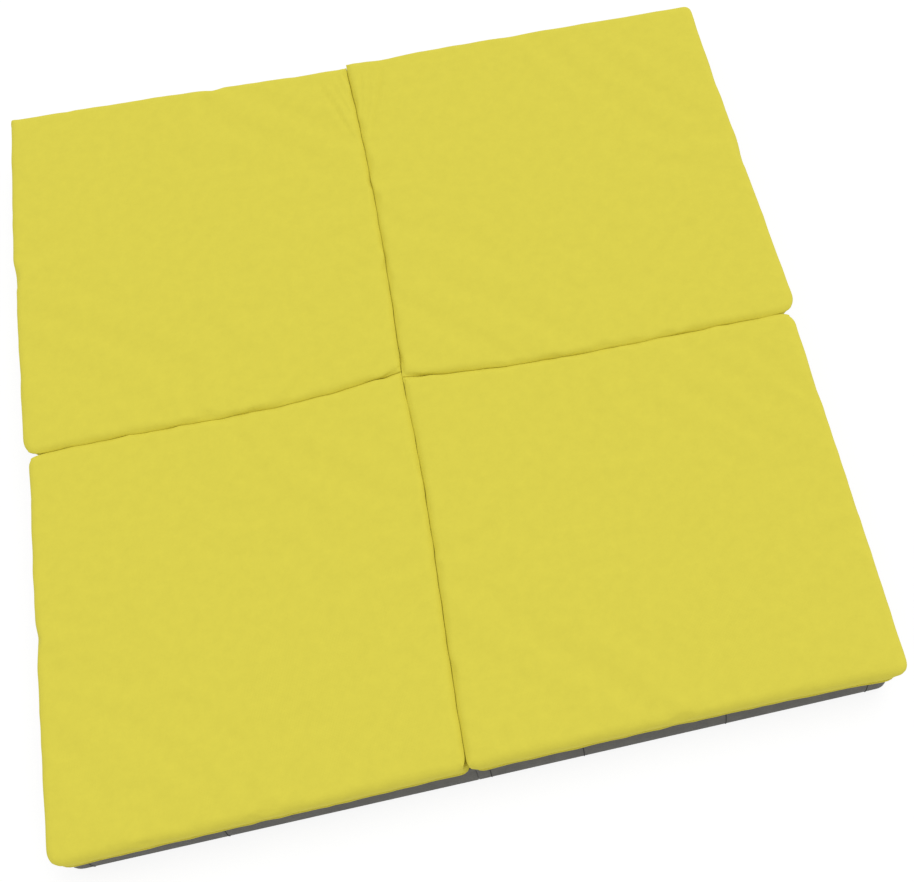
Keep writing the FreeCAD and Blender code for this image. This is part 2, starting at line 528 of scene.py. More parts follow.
DRIFTS = {
    "rear_left": PanelDrift(
        left=EdgeDrift(-1.7, 5.2, bow=-2.5, sway=0.3, tuck=-2.2, tuck_at=0.53), right=REAR_SEAM,
        front=LEFT_SEAM, back=EdgeDrift(20.1, -0.5, bow=-0.4, sway=0.2),
    ),
    "rear_right": PanelDrift(
        left=REAR_SEAM, right=EdgeDrift(16.4, -4.3, bow=-2.3, sway=0.5, tuck=2.0, tuck_at=0.5),
        front=RIGHT_SEAM, back=EdgeDrift(6.2, 0.8, bow=0.3, sway=0.8),
    ),
    "front_left": PanelDrift(
        left=EdgeDrift(1.5, 5.1, bow=-0.2, sway=0.1), right=FRONT_SEAM,
        front=EdgeDrift(-11.6, 2.6, bow=0.9, sway=0.5), back=LEFT_SEAM,
        front_ground=EdgeDrift(-16.5, -9.5), seam_ground=-10.0,
    ),
    "front_right": PanelDrift(
        left=FRONT_SEAM, right=EdgeDrift(13.4, 6.6, sway=0.4),
        front=EdgeDrift(1.2, 6.0, bow=4.2, sway=-0.7), back=RIGHT_SEAM,
        front_ground=EdgeDrift(-9.5, -0.7), seam_ground=-10.0,
    ),
}


@dataclass
class ShellGrid:
    """Closed panel form on a regular grid, with round plan corners and round top and bottom edges."""

    half_width: float
    half_depth: float
    low: float
    high: float
    rows: list[float]
    corners: CornerRounding
    ground_corners: CornerRounding
    outer_signs: tuple[int, int]
    top_radius: float
    seam_dip: float
    bottom_radius: float
    seam_roll: float = 10 * MM
    seam_bend: float = 1.7
    edge_step: float = 1.6 * MM
    seam: float = 45 * MM
    tuck_end: float = 86 * MM
    sewn_lift: float = 1.5 * MM
    lift_spread: float = 45 * MM
    even_margin: float = 5 * MM
    near: float = 1.4 * MM
    growth: float = 1.27
    far: float = 10 * MM
    fixed_line: float = 0.0

    def build(self) -> tuple[np.ndarray, list[tuple[int, ...]], np.ndarray, list[list[int]]]:
        """Points, faces, a level number for each face and the wall's loops of points.

        Returns:
            Points around the panel's own middle; faces; each face's level, which is 0
            upwards for the wall bands from the bottom, or the level of the underside or
            the top; the loops round the wall from the bottom up.
        """
        xs = graded_lines(self.half_width, self.near, self.growth, self.far)
        ys = graded_lines(self.half_depth, self.near, self.growth, self.far)
        if self.fixed_line > 0:
            for sign in (-1, 1):
                ys[np.abs(ys - sign * self.fixed_line).argmin()] = sign * self.fixed_line
        nx, ny = len(xs), len(ys)
        gx, gy = np.meshgrid(xs, ys, indexing="ij")
        flat_x, flat_y = gx.ravel(), gy.ravel()
        px, py, _ = self.round_plan(flat_x, flat_y, self.high)
        bx, by, base_inset = self.round_plan(flat_x, flat_y, self.low)
        lift = self.sewn_lift * np.exp(-((self.to_sewn(flat_x, flat_y) / self.lift_spread) ** 2))
        top = np.c_[px, py, self.high + lift - self.edge_drop(flat_x, flat_y)]
        b = self.bottom_radius
        rise = np.clip(b - base_inset, 0, b)
        bottom = np.c_[bx, by, self.low + b - np.sqrt(np.maximum(b * b - rise * rise, 0))]
        ring = [i * ny for i in range(nx)] + [(nx - 1) * ny + j for j in range(1, ny)]
        ring += [i * ny + ny - 1 for i in range(nx - 2, -1, -1)] + [j for j in range(ny - 2, 0, -1)]
        verts = [top, bottom]
        count = len(top)
        loops = [[count + i for i in ring]]
        total = 2 * count
        even_from = self.seam + self.even_margin
        span = max(self.rows[-1] - even_from, 1 * MM)
        for z in self.rows:
            wx, wy, _ = self.round_plan(flat_x[ring], flat_y[ring], z)
            share = min(max((z - even_from) / span, 0.0), 1.0)
            verts.append(np.c_[wx, wy, z + share * (top[ring, 2] - self.edge_step - self.rows[-1])])
            loops.append(list(range(total, total + len(ring))))
            total += len(ring)
        loops.append(list(ring))
        faces, levels = [], []
        for i in range(nx - 1):
            for j in range(ny - 1):
                a, c = i * ny + j, (i + 1) * ny + j
                faces.append((a, c, c + 1, a + 1))
                levels.append(TOP_LEVEL)
                faces.append((count + a, count + a + 1, count + c + 1, count + c))
                levels.append(UNDERSIDE_LEVEL)
        for k in range(len(loops) - 1):
            lower, upper = loops[k], loops[k + 1]
            for i in range(len(ring)):
                n = (i + 1) % len(ring)
                faces.append((lower[i], lower[n], upper[n], upper[i]))
                levels.append(k)
        return np.vstack(verts), faces, np.array(levels), loops

    def edge_drop(self, x: np.ndarray, y: np.ndarray) -> np.ndarray:
        """How far the lying face falls towards the sides: round at free walls, a shallow dip at seams.

        Args:
            x: Grid positions across.
            y: Grid positions along.

        Returns:
            The fall at each position.
        """
        drop = np.zeros(len(x))
        sides = ((x, self.half_width, self.outer_signs[0]), (y, self.half_depth, self.outer_signs[1]))
        for place, half, free in sides:
            for sign in (-1, 1):
                r = self.top_radius if sign == free else self.seam_roll
                into = np.clip(r - half + sign * place, 0, r)
                if sign == free:
                    fall = r - np.sqrt(np.maximum(r * r - into * into, 0))
                else:
                    fall = self.seam_dip * (into / r) ** self.seam_bend
                drop = np.maximum(drop, fall)
        return drop

    def to_sewn(self, x: np.ndarray, y: np.ndarray) -> np.ndarray:
        """Distance from each plan point to the nearest sewn side."""
        sx, sy = self.outer_signs
        return np.minimum(self.half_width + sx * x, self.half_depth + sy * y)

    def plan_radius(self, x: np.ndarray, y: np.ndarray, height: float) -> np.ndarray:
        """Corner radius that holds at a height.

        Args:
            x: Grid positions across.
            y: Grid positions along.
            height: Height of the points above the ground.

        Returns:
            Radius at each position.
        """
        ground = self.ground_corners.at(x, y)
        if height < self.seam:
            return ground
        upper = self.corners.at(x, y)
        share = max(0.0, (self.tuck_end - height) / (self.tuck_end - self.seam))
        return upper + np.maximum(ground - upper, 0) * share

    def round_plan(
        self, x: np.ndarray, y: np.ndarray, height: float
    ) -> tuple[np.ndarray, np.ndarray, np.ndarray]:
        """Bend the grid's square corners to round ones.

        Args:
            x: Grid positions across.
            y: Grid positions along.
            height: Height of the points above the ground.

        Returns:
            New positions across and along, and each one's distance in from the outline.
        """
        r = self.plan_radius(x, y, height)
        dx = np.abs(x) - (self.half_width - r)
        dy = np.abs(y) - (self.half_depth - r)
        inset = np.minimum(self.half_width - np.abs(x), self.half_depth - np.abs(y))
        corner = (dx > 0) & (dy > 0)
        reach = np.hypot(dx, dy)
        pull = np.where(corner, np.maximum(dx, dy) / np.maximum(reach, 1e-9), 1.0)
        nx = np.where(corner, np.sign(x) * (self.half_width - r + dx * pull), x)
        ny = np.where(corner, np.sign(y) * (self.half_depth - r + dy * pull), y)
        return nx, ny, inset


@dataclass(frozen=True)
class PressureCloth:
    """Short cloth simulation that swells a panel's skin."""

    quality: int = 5
    mass: float = 0.3
    stiffness: float = 12.0
    bending: float = 2.0
    growth: float = 0.004
    pressure: float = 1.0
    pin_weight: float = 0.15
    frames: int = 20

    def add_to(self, piece: bpy.types.Object, held: np.ndarray) -> None:
        """Set the simulation up on a skin.

        Args:
            piece: The skin.
            held: True for each point that stays where it is.
        """
        group = piece.vertex_groups.new(name="held")
        group.add([int(i) for i in np.nonzero(held)[0]], 1.0, "REPLACE")
        group.add([int(i) for i in np.nonzero(~held)[0]], self.pin_weight, "REPLACE")
        settings = piece.modifiers.new("cloth", "CLOTH").settings
        settings.quality = self.quality
        settings.mass = self.mass
        settings.tension_stiffness = self.stiffness
        settings.compression_stiffness = self.stiffness
        settings.bending_stiffness = self.bending
        settings.shrink_min = -self.growth
        settings.use_pressure = True
        settings.uniform_pressure_force = self.pressure
        settings.vertex_group_mass = group.name
        settings.effector_weights.gravity = 0


@dataclass
class SoftPanel:
    """One padded panel: covers, seam edge, stitches and the two foam layers."""

    name: str
    side: Side
    row: Row
    finishes: Finishes
    swell: float = 2.5 * MM
    tightness: float = 2.2 * MM
    sewn_reach: float = 1.97 * MM
    free_reach: float = 3.0 * MM
    wall_reach: float = -0.3 * MM
    brim: float = 80 * MM
    fit_width: float = 60 * MM
    cloth_thickness: float = 1.2 * MM
    lip_band: float = 1.0 * MM
    top_radius: float = 14 * MM
    seam_dip: float = 5.6 * MM
    bottom_radius: float = 3 * MM
    zip_half_length: float = 0.250
    zip_low: float = 0.019
    zip_high: float = 0.033
    lean_low: float = 0.034
    lean_high: float = 0.062
    droop_low: float = 0.006
    droop_high: float = 0.042
    end_share: float = 0.075
    end_rise: float = 10 * MM
    ground_gap: float = 0.3 * MM
    cloth: PressureCloth = PressureCloth()
    wall_slack: float = 0.2 * MM
    corner_margin: float = 1.3
    corner_hold: float = 3 * MM
    uneven_low: float = 22 * MM
    uneven_high: float = 8 * MM
    broad_height: float = 0.9
    broad_waves: float = 7.0
    fine_height: float = 0.35
    fine_waves: float = 26.0
    lip_step: float = 5 * MM
    lip_sewn: float = 0.5
    lip_free: float = 1.1
    stitch_pitch: float = 4.6 * MM
    stitch_half: float = 1.5 * MM
    thread_half: float = 0.4 * MM
    thread_out: float = 0.25 * MM
    thread_in: float = 0.5 * MM
    held_band: float = 1.1
    core_inset: float = 8 * MM
    core_gap: float = 0.4 * MM
    core_floor: float = 3 * MM
    core_headroom: float = 9 * MM
    slab_radius: float = 1 * MM
    core_near: float = 5 * MM
    core_far: float = 40 * MM
    low: Vector = field(init=False)
    high: Vector = field(init=False)
    thickness: float = field(init=False)
    seam: float = field(init=False)
    centre: np.ndarray = field(init=False)
    half_width: float = field(init=False)
    half_depth: float = field(init=False)
    body: str = field(init=False)
    drift: PanelDrift = field(init=False)
    corners: CornerRounding = field(init=False)
    ground_corners: CornerRounding = field(init=False)

    def __post_init__(self) -> None:
        """Read the panel's sizes from the frame and look up its plan."""
        self.low, self.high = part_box(self.name + "_base_cover")
        top_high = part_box(self.name + "_top_cover")[1]
        lip_low, lip_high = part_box(self.name + "_seam_lip")
        self.thickness = top_high.z
        self.seam = (lip_low.z + lip_high.z) / 2
        self.centre = np.array([(self.low.x + self.high.x) / 2, (self.low.y + self.high.y) / 2, 0.0])
        self.half_width = (self.high.x - self.low.x) / 2
        self.half_depth = (self.high.y - self.low.y) / 2
        self.body = "panel_" + self.name
        self.drift = DRIFTS[self.name]
        self.corners = CORNERS[self.name]
        self.ground_corners = GROUND_CORNERS[self.name]

    def lean(self, points: np.ndarray) -> np.ndarray:
        """Move points of the nominal panel to where the soft panel has settled.

        Args:
            points: Points in the pad's frame.

        Returns:
            The moved points.
        """
        s = (points[:, 0] - self.low.x) / (self.high.x - self.low.x)
        t = (points[:, 1] - self.low.y) / (self.high.y - self.low.y)
        s, t = np.clip(s, 0, 1), np.clip(t, 0, 1)
        across = (1 - s) * self.drift.left.at(t) + s * self.drift.right.at(t)
        droop = smoothstep(points[:, 2], self.droop_low, self.droop_high)
        whole = smoothstep(points[:, 2], self.lean_low, self.lean_low + self.end_rise)
        near_front = whole * (1 - t) + (1 - whole) * (1 - smoothstep(t, 0.0, self.end_share))
        near_back = whole * t + (1 - whole) * smoothstep(t, 1 - self.end_share, 1.0)
        front = self.drift.front.at(s) * droop + self.drift.front_ground.at(s) * (1 - droop)
        inward = s if self.side is Side.LEFT else 1 - s
        above = smoothstep(points[:, 2], self.lean_low, self.lean_high)
        moved = points.copy()
        moved[:, 0] += across * above + self.drift.seam_ground * MM * inward * (1 - t) * (1 - above)
        moved[:, 1] += near_front * front + near_back * self.drift.back.at(s) * droop
        return moved

    def rows(self) -> list[float]:
        """Heights of the wall's grid lines between its round edges.

        Returns:
            The heights from the ground up, metres.
        """
        seam_low, seam_high = self.seam - self.lip_band, self.seam + self.lip_band
        lower = [8 * MM, 13 * MM, self.zip_low, 26 * MM, self.zip_high, 38 * MM, seam_low]
        upper = [seam_high, 49 * MM, 54 * MM, 60 * MM, 66 * MM, 71 * MM]
        return lower + upper

    def build(self) -> None:
        """Build and dress every piece of the panel."""
        grid = ShellGrid(
            self.half_width - self.tightness, self.half_depth - self.tightness,
            self.ground_gap, self.thickness - self.swell, self.rows(), self.corners, self.ground_corners,
            (self.side.value, self.row.value), self.top_radius, self.seam_dip, self.bottom_radius,
            fixed_line=self.zip_half_length,
        )
        rest, faces, levels, loops = grid.build()
        fitted = self.fit_walls(self.inflate(rest, faces), rest)
        above = sum(row < self.seam for row in self.rows()) + 1
        window = self.in_zip_window(rest, faces)
        base = [f for f, k, w in zip(faces, levels, window) if k < above and not w]
        upper = [f for f, k in zip(faces, levels) if k >= above]
        self.skin("base_fabric", fitted, base, self.finishes.grey, "grey_base", "base_cover")
        self.skin("top_fabric", fitted, upper, self.finishes.yellow, "yellow_cover", "top_cover")
        placed = self.lean(fitted + self.centre)
        self.seam_edge(placed[loops[above]] - np.array([0, 0, self.lip_band]))
        self.stitches(placed[loops[above + 1]])
        self.cores()
        if self.row is Row.FRONT:
            self.wall_seams(rest, placed, loops[:above])

    def inflate(self, points: np.ndarray, faces: list[tuple[int, ...]]) -> np.ndarray:
        """Swell the panel's skin with a pressure cloth simulation.

        Args:
            points: The tight form around the panel's middle.
            faces: Its faces.

        Returns:
            The swollen points, none further out than the swell.
        """
        piece = new_mesh(self.name + "_inflating", points, faces)
        self.cloth.add_to(piece, self.held_still(points))
        scene = bpy.context.scene
        for number in range(1, self.cloth.frames + 1):
            scene.frame_set(number)
        graph = bpy.context.evaluated_depsgraph_get()
        shown = piece.evaluated_get(graph)
        grown = np.array([v.co for v in shown.data.vertices], float)
        outward = np.array([v.normal for v in piece.data.vertices], float)
        bpy.data.objects.remove(piece)
        scene.frame_set(1)
        out = ((grown - points) * outward).sum(1, keepdims=True)
        return grown + outward * (np.minimum(out, self.swell + self.wall_slack) - out)

    def fit_walls(self, points: np.ndarray, rest: np.ndarray) -> np.ndarray:
        """Bring every wall of the swollen panel to its line, so neighbours just touch.

        Args:
            points: The swollen points.
            rest: The same points in the tight form.

        Returns:
            The moved points.
        """
        moved = points.copy()
        for axis in (0, 1):
            for sign in (-1, 1):
                for upper in (False, True):
                    self.fit_wall(moved, points, rest, axis, sign, upper)
        return moved

    def fit_wall(
        self, moved: np.ndarray, points: np.ndarray, rest: np.ndarray, axis: int, sign: int, upper: bool
    ) -> None:
        """Bring one wall, above or below the seam, to its line.

        Args:
            moved: The points to change.
            points: The swollen points.
            rest: The same points in the tight form.
            axis: 0 for a side wall, 1 for a front or back wall.
            sign: -1 for the wall at the low end of the axis, 1 for the one at its high end.
            upper: Whether this is the part above the seam.
        """
        flush = (self.half_width, self.half_depth)
        free = sign == (self.side.value, self.row.value)[axis]
        along = rest[:, 1 - axis]
        edge = flush[axis] - self.tightness
        level = (rest[:, 2] > self.seam) == upper
        reach = self.free_reach if upper else self.wall_reach
        target = flush[axis] + (reach if free else self.sewn_reach)
        rounding = (self.corners if upper else self.ground_corners).at(rest[:, 0], rest[:, 1])
        end = flush[1 - axis] - self.tightness
        straight = np.abs(along) < end - rounding * self.corner_margin
        sewn = upper and not free
        height = self.brim if sewn else 0.0
        outside = rest[:, axis] * sign > edge - self.wall_slack
        wall = level & outside & straight & (rest[:, 2] > height)
        lines, which = np.unique(np.round(along[wall], 5), return_inverse=True)
        widest = np.full(len(lines), -1.0)
        np.maximum.at(widest, which, sign * points[wall, axis])
        short = target - np.interp(along, lines, widest)
        share = smoothstep(rest[:, axis] * sign, edge - self.fit_width, edge)
        moved[:, axis] += np.where(level, sign * short * share, 0.0)
        if sewn:
            beyond = np.maximum(sign * moved[:, axis] - target, 0)
            moved[:, axis] -= np.where(level, sign * beyond, 0.0)

    def held_still(self, points: np.ndarray) -> np.ndarray:
        """Find the points that the pressure can't move: the firm base, the seam and the sewn corners.

        Args:
            points: Points around the panel's middle.

        Returns:
            True for each held point.
        """
        below = points[:, 2] < self.seam + self.lip_band * self.held_band
        width, depth = self.half_width - self.tightness, self.half_depth - self.tightness
        at_end = np.hypot(width - np.abs(points[:, 0]), depth - np.abs(points[:, 1])) < self.corner_hold
        sewn = (points[:, 0] * self.side.value < 0) | (points[:, 1] * self.row.value < 0)
        return below | (at_end & sewn)

    def in_zip_window(self, points: np.ndarray, faces: list[tuple[int, ...]]) -> list[bool]:
        """Find the faces over the zip, where the base cover is open.

        Args:
            points: Points around the panel's middle.
            faces: Corner indices of each face.

        Returns:
            True for each face in the window.
        """
        found = []
        for face in faces:
            middle = points[list(face)].mean(0)
            outer = middle[0] * self.side.value > self.half_width - self.tightness - 1 * MM
            level = self.zip_low < middle[2] < self.zip_high
            found.append(bool(outer and level and abs(middle[1]) < self.zip_half_length))
        return found

    def settle(self, points: np.ndarray) -> np.ndarray:
        """Add the faint unevenness of the lying face and the pull lines beside the rear seam.

        Args:
            points: Points around the panel's middle.

        Returns:
            The moved points.
        """
        moved = points.copy()
        upper = smoothstep(points[:, 2], self.thickness - self.uneven_low, self.thickness - self.uneven_high)
        seed = Vector((self.side.value * 3.7, self.row.value * 5.1, 0.0))
        for i, p in enumerate(points):
            if upper[i] <= 0:
                continue
            broad = noise.noise(Vector((p[0] * self.broad_waves, p[1] * self.broad_waves, 0)) + seed)
            fine = noise.noise(Vector((p[0] * self.fine_waves, p[1] * self.fine_waves, 1)) + seed)
            uneven = self.broad_height * (broad - 1) + self.fine_height * fine
            moved[i, 2] += upper[i] * uneven * MM
        if self.row is Row.REAR:
            moved[:, 2] += upper * self.pull_lines(points)
        return moved

    def pull_lines(self, points: np.ndarray) -> np.ndarray:
        """Add up the folds that run from the rear edge in towards the rear seam.

        Args:
            points: Points around the panel's middle.

        Returns:
            Height to add at each point, none above 0.
        """
        away = self.half_width + points[:, 0] * self.side.value
        down = self.half_depth - points[:, 1]
        return -sum(fold.at(away, down) for fold in FOLDS[self.side])

    def skin(
        self, part: str, points: np.ndarray, faces: list[tuple[int, ...]],
        finish: bpy.types.Material, slot: str, node: str,
    ) -> None:
        """Make one cover of the panel from part of its skin.

        Args:
            part: Last words of the piece's name.
            points: Points of the whole skin around the panel's middle.
            faces: The cover's own faces.
            finish: Its material.
            slot: Its material slot in the frame.
            node: The solid that it stands for.
        """
        coarse = new_mesh(self.name + "_coarse", *only_used(points, faces))
        add_subdivision(coarse, 1)
        shown = coarse.evaluated_get(bpy.context.evaluated_depsgraph_get()).data
        fine = np.array([v.co for v in shown.vertices], float)
        fine_faces = [tuple(f.vertices) for f in shown.polygons]
        bpy.data.objects.remove(coarse)
        piece = new_mesh(self.name + "_" + part, self.lean(self.settle(fine) + self.centre), fine_faces)
        add_thickness(piece, self.cloth_thickness)
        self.finish_piece(piece, finish, slot, node)

    def finish_piece(
        self, piece: bpy.types.Object, finish: bpy.types.Material, slot: str, *nodes: str
    ) -> None:
        """Dress a piece, tie it to the panel's body and hide the frame's solids it stands for.

        Args:
            piece: The piece.
            finish: Its material.
            slot: Its material slot in the frame; not used.
            nodes: The panel's solids that it stands for, without the panel's name.
        """
        piece.data.materials.append(finish)
        if nodes:
            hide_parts(*[self.name + "_" + n for n in nodes])
        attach(piece, self.body)
        log.info("%s on %s", piece.name, self.body)

    def along_wall(self, loop: np.ndarray, step: float) -> tuple[np.ndarray, np.ndarray, np.ndarray]:
        """Evenly spaced points on a closed line round the wall.

        Args:
            loop: Corner points of the line, anticlockwise from above or clockwise.
            step: Distance between points.

        Returns:
            The points, the outward direction at each, and how far each faces a free
            side of the pad, 0 on a sewn side to 1 on a free one.
        """
        closed = np.vstack([loop, loop[:1]])
        length = np.r_[0, np.cumsum(np.linalg.norm(np.diff(closed, axis=0), axis=1))]
        places = np.linspace(0, length[-1], round(length[-1] / step), endpoint=False)
        points = np.column_stack([np.interp(places, length, closed[:, k]) for k in range(3)])
        tangent = np.roll(points, -1, axis=0) - np.roll(points, 1, axis=0)
        out = np.column_stack([tangent[:, 1], -tangent[:, 0], np.zeros(len(points))])
        out /= np.linalg.norm(out, axis=1, keepdims=True)
        if ((points - self.centre) * out).sum() < 0:
            out = -out
        free_x = np.where(out[:, 0] * self.side.value > 0, out[:, 0] ** 2, 0)
        free_y = np.where(out[:, 1] * self.row.value > 0, out[:, 1] ** 2, 0)
        return points, out, free_x + free_y

    def seam_edge(self, loop: np.ndarray) -> None:
        """Build the folded edge where the two covers are sewn together, all round the panel.

        Args:
            loop: Points of the seam line.
        """
        points, out, free = self.along_wall(loop, self.lip_step)
        width = (self.lip_sewn + self.lip_free * free)[:, None]
        rows = [points + out * (a * width if a > 0 else a) * MM + UP * b * MM for a, b in LIP_PROFILE]
        count, n = len(points), len(rows)
        faces = []
        for k in range(n):
            for i in range(count):
                j, m = (i + 1) % count, (k + 1) % n
                faces.append((k * count + i, k * count + j, m * count + j, m * count + i))
        piece = new_mesh(self.name + "_seam_edge", np.vstack(rows), faces)
        self.finish_piece(piece, self.finishes.yellow_edge, "seam_binding", "seam_lip")

    def stitches(self, loop: np.ndarray) -> None:
        """Build the row of thread stitches in the cover just above its seam.

        Args:
            loop: Points of the stitch line.
        """
        points, out, _ = self.along_wall(loop, self.stitch_pitch)
        along = np.cross(UP, out)
        verts, faces = [], []
        for p, o, a in zip(points, out, along):
            start = len(verts)
            verts += [p - a * self.stitch_half, p + a * self.stitch_half]
            verts += [p + o * self.thread_out, p + UP * self.thread_half]
            verts += [p - o * self.thread_in, p - UP * self.thread_half]
            for k in range(4):
                first, second = start + 2 + k, start + 2 + (k + 1) % 4
                faces += [(start, second, first), (start + 1, first, second)]
        piece = new_mesh(self.name + "_seam_stitches", np.array(verts), faces)
        self.finish_piece(piece, self.finishes.yellow_thread, "seam_binding")

    def wall_seams(self, rest: np.ndarray, placed: np.ndarray, loops: list[list[int]]) -> None:
        """Build the upright sewn joins in the grey front wall.

        Args:
            rest: The panel's points in the tight form.
            placed: The same points as settled in the pad.
            loops: The wall's loops of points up to the seam.
        """
        edge = -self.half_depth + self.tightness
        verts, faces = [], []
        for mark in WALL_SEAMS[self.side]:
            start = len(verts)
            for loop in loops:
                ids = [i for i in loop if rest[i, 1] < edge + self.wall_slack]
                ids.sort(key=lambda i: rest[i, 0])
                line = placed[ids]
                y = float(np.interp(mark, line[:, 0], line[:, 1]))
                z = float(np.interp(mark, line[:, 0], line[:, 2]))
                for dx, dy in JOIN_PROFILE:
                    verts.append((mark + dx * MM, y + dy * MM, z))
            for k in range(len(loops) - 1):
                for c in range(4):
                    a, b = start + 4 * k + c, start + 4 * k + (c + 1) % 4
                    faces.append((a, b, b + 4, a + 4))
            last = start + 4 * (len(loops) - 1)
            faces.append(tuple(start + i for i in (3, 2, 1, 0)))
            faces.append(tuple(last + i for i in (0, 1, 2, 3)))
        piece = new_mesh(self.name + "_wall_seams", np.array(verts), faces)
        self.finish_piece(piece, self.finishes.grey_thread, "grey_base")

    def cores(self) -> None:
        """Build the soft and the firm foam layer inside the covers."""
        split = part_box(self.name + "_comfort_foam")[0].z
        inset = self.core_inset
        under, over = split - self.core_gap, split + self.core_gap
        ceiling = self.thickness - self.core_headroom
        layers = [
            ("soft_core", over, ceiling, self.top_radius, self.finishes.soft_foam, "comfort_foam"),
            ("firm_core", self.core_floor, under, self.slab_radius, self.finishes.firm_foam, "base_foam"),
        ]
        for part, low, high, radius, finish, node in layers:
            grid = ShellGrid(
                self.half_width - inset, self.half_depth - inset, low, high,
                [low + (high - low) * k / 4 for k in (1, 2)], self.corners, self.corners,
                (self.side.value, self.row.value), radius, self.seam_dip, self.slab_radius,
                near=self.core_near, far=self.core_far,
            )
            points, faces, _, _ = grid.build()
            piece = new_mesh(self.name + "_" + part, self.lean(points + self.centre), faces)
            self.finish_piece(piece, finish, node, node)


# ---------------------------------------------------------------- fold webs


@dataclass
class FoldWebs:
    """The bands of cover fabric that carry the three folds."""

    finishes: Finishes
    panels: dict[str, SoftPanel]
    reach: float = 26 * MM
    run_on: float = 24 * MM
    depth: float = 12 * MM
    crest: float = 0.8 * MM
    crest_width: float = 2.5 * MM
    handover: float = 1.5 * MM
    base_reach: float = 14 * MM
    base_lift: float = 0.9 * MM
    base_rise: float = 1.6 * MM
    rise_low: float = 2 * MM
    rise_high: float = 6 * MM
    outer_trim: float = 16 * MM
    thickness: float = 1.0 * MM
    rear_grid: tuple[int, int] = (81, 35)
    base_grid: tuple[int, int] = (41, 15)

    def build(self) -> None:
        """Build the rear, left and right web."""
        self.rear_web()
        for side in Side:
            self.base_web(side)

    def rear_web(self) -> None:
        """Build the band in the valley between the two rear panels, sewn under their top covers."""
        low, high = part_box("rear_hinge_web_left")
        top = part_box("rear_left_top_cover")[1].z
        ys = np.linspace(low.y - self.run_on, high.y + self.run_on, self.rear_grid[0])
        across = np.linspace(-self.reach, self.reach, self.rear_grid[1])
        rise = self.crest * np.exp(-((across / self.crest_width) ** 2))
        flat = np.array([(x, y, top - self.depth + h) for y in ys for x, h in zip(across, rise)])
        share = smoothstep(flat[:, 0], -self.handover, self.handover)[:, None]
        on_left, on_right = self.panels["rear_left"].lean(flat), self.panels["rear_right"].lean(flat)
        settled = on_left * (1 - share) + on_right * share
        piece = self.band("rear_seam_web", settled, len(ys), len(across), self.finishes.yellow)
        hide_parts("rear_hinge_web_left", "rear_hinge_web_right")
        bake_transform(piece)
        log.info("%s bends with the rear fold", piece.name)

    def base_web(self, side: Side) -> None:
        """Build the band along the ground between a rear panel and the front panel before it.

        Args:
            side: Which of the two bands.
        """
        word = side.name.lower()
        node = f"{word}_hinge_web_rear"
        low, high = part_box(node)
        trims = (self.outer_trim, 0.0) if side is Side.LEFT else (0.0, self.outer_trim)
        xs = np.linspace(low.x + trims[0], high.x - trims[1], self.base_grid[0])
        across = np.linspace(self.base_reach, -self.base_reach, self.base_grid[1])
        rise = smoothstep(np.abs(across), self.rise_low, self.rise_high)
        lift = self.base_lift + self.base_rise * rise
        verts = [(x, y, z) for x in xs for y, z in zip(across, lift)]
        piece = self.band(f"{word}_seam_web", np.array(verts), len(xs), len(across), self.finishes.grey)
        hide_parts(node, f"{word}_hinge_web_front")
        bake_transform(piece)
        log.info("%s bends with the %s fold", piece.name, word)

    def band(
        self, name: str, verts: np.ndarray, count_a: int, count_b: int, finish: bpy.types.Material
    ) -> bpy.types.Object:
        """Build a closed strip of cloth from a grid of points.

        Args:
            name: Name of the piece.
            verts: Points, count_a rows of count_b.
            count_a: Rows.
            count_b: Points in a row.
            finish: Its material.

        Returns:
            The strip, with its thickness in the mesh.
        """
        under = verts - np.array([0, 0, self.thickness])
        n = len(verts)
        faces = []
        for i in range(count_a - 1):
            for j in range(count_b - 1):
                a = i * count_b + j
                faces.append((a, a + count_b, a + count_b + 1, a + 1))
                faces.append((n + a, n + a + 1, n + a + count_b + 1, n + a + count_b))
        rim = [i * count_b for i in range(count_a)]
        rim += [(count_a - 1) * count_b + j for j in range(1, count_b)]
        rim += [i * count_b + count_b - 1 for i in range(count_a - 2, -1, -1)]
        rim += [j for j in range(count_b - 2, 0, -1)]
        for i, a in enumerate(rim):
            b = rim[(i + 1) % len(rim)]
            faces.append((a, n + a, n + b, b))
        piece = new_mesh(name, np.vstack([verts, under]), faces)
        piece.data.materials.append(finish)
        return piece


# ---------------------------------------------------------------- zips


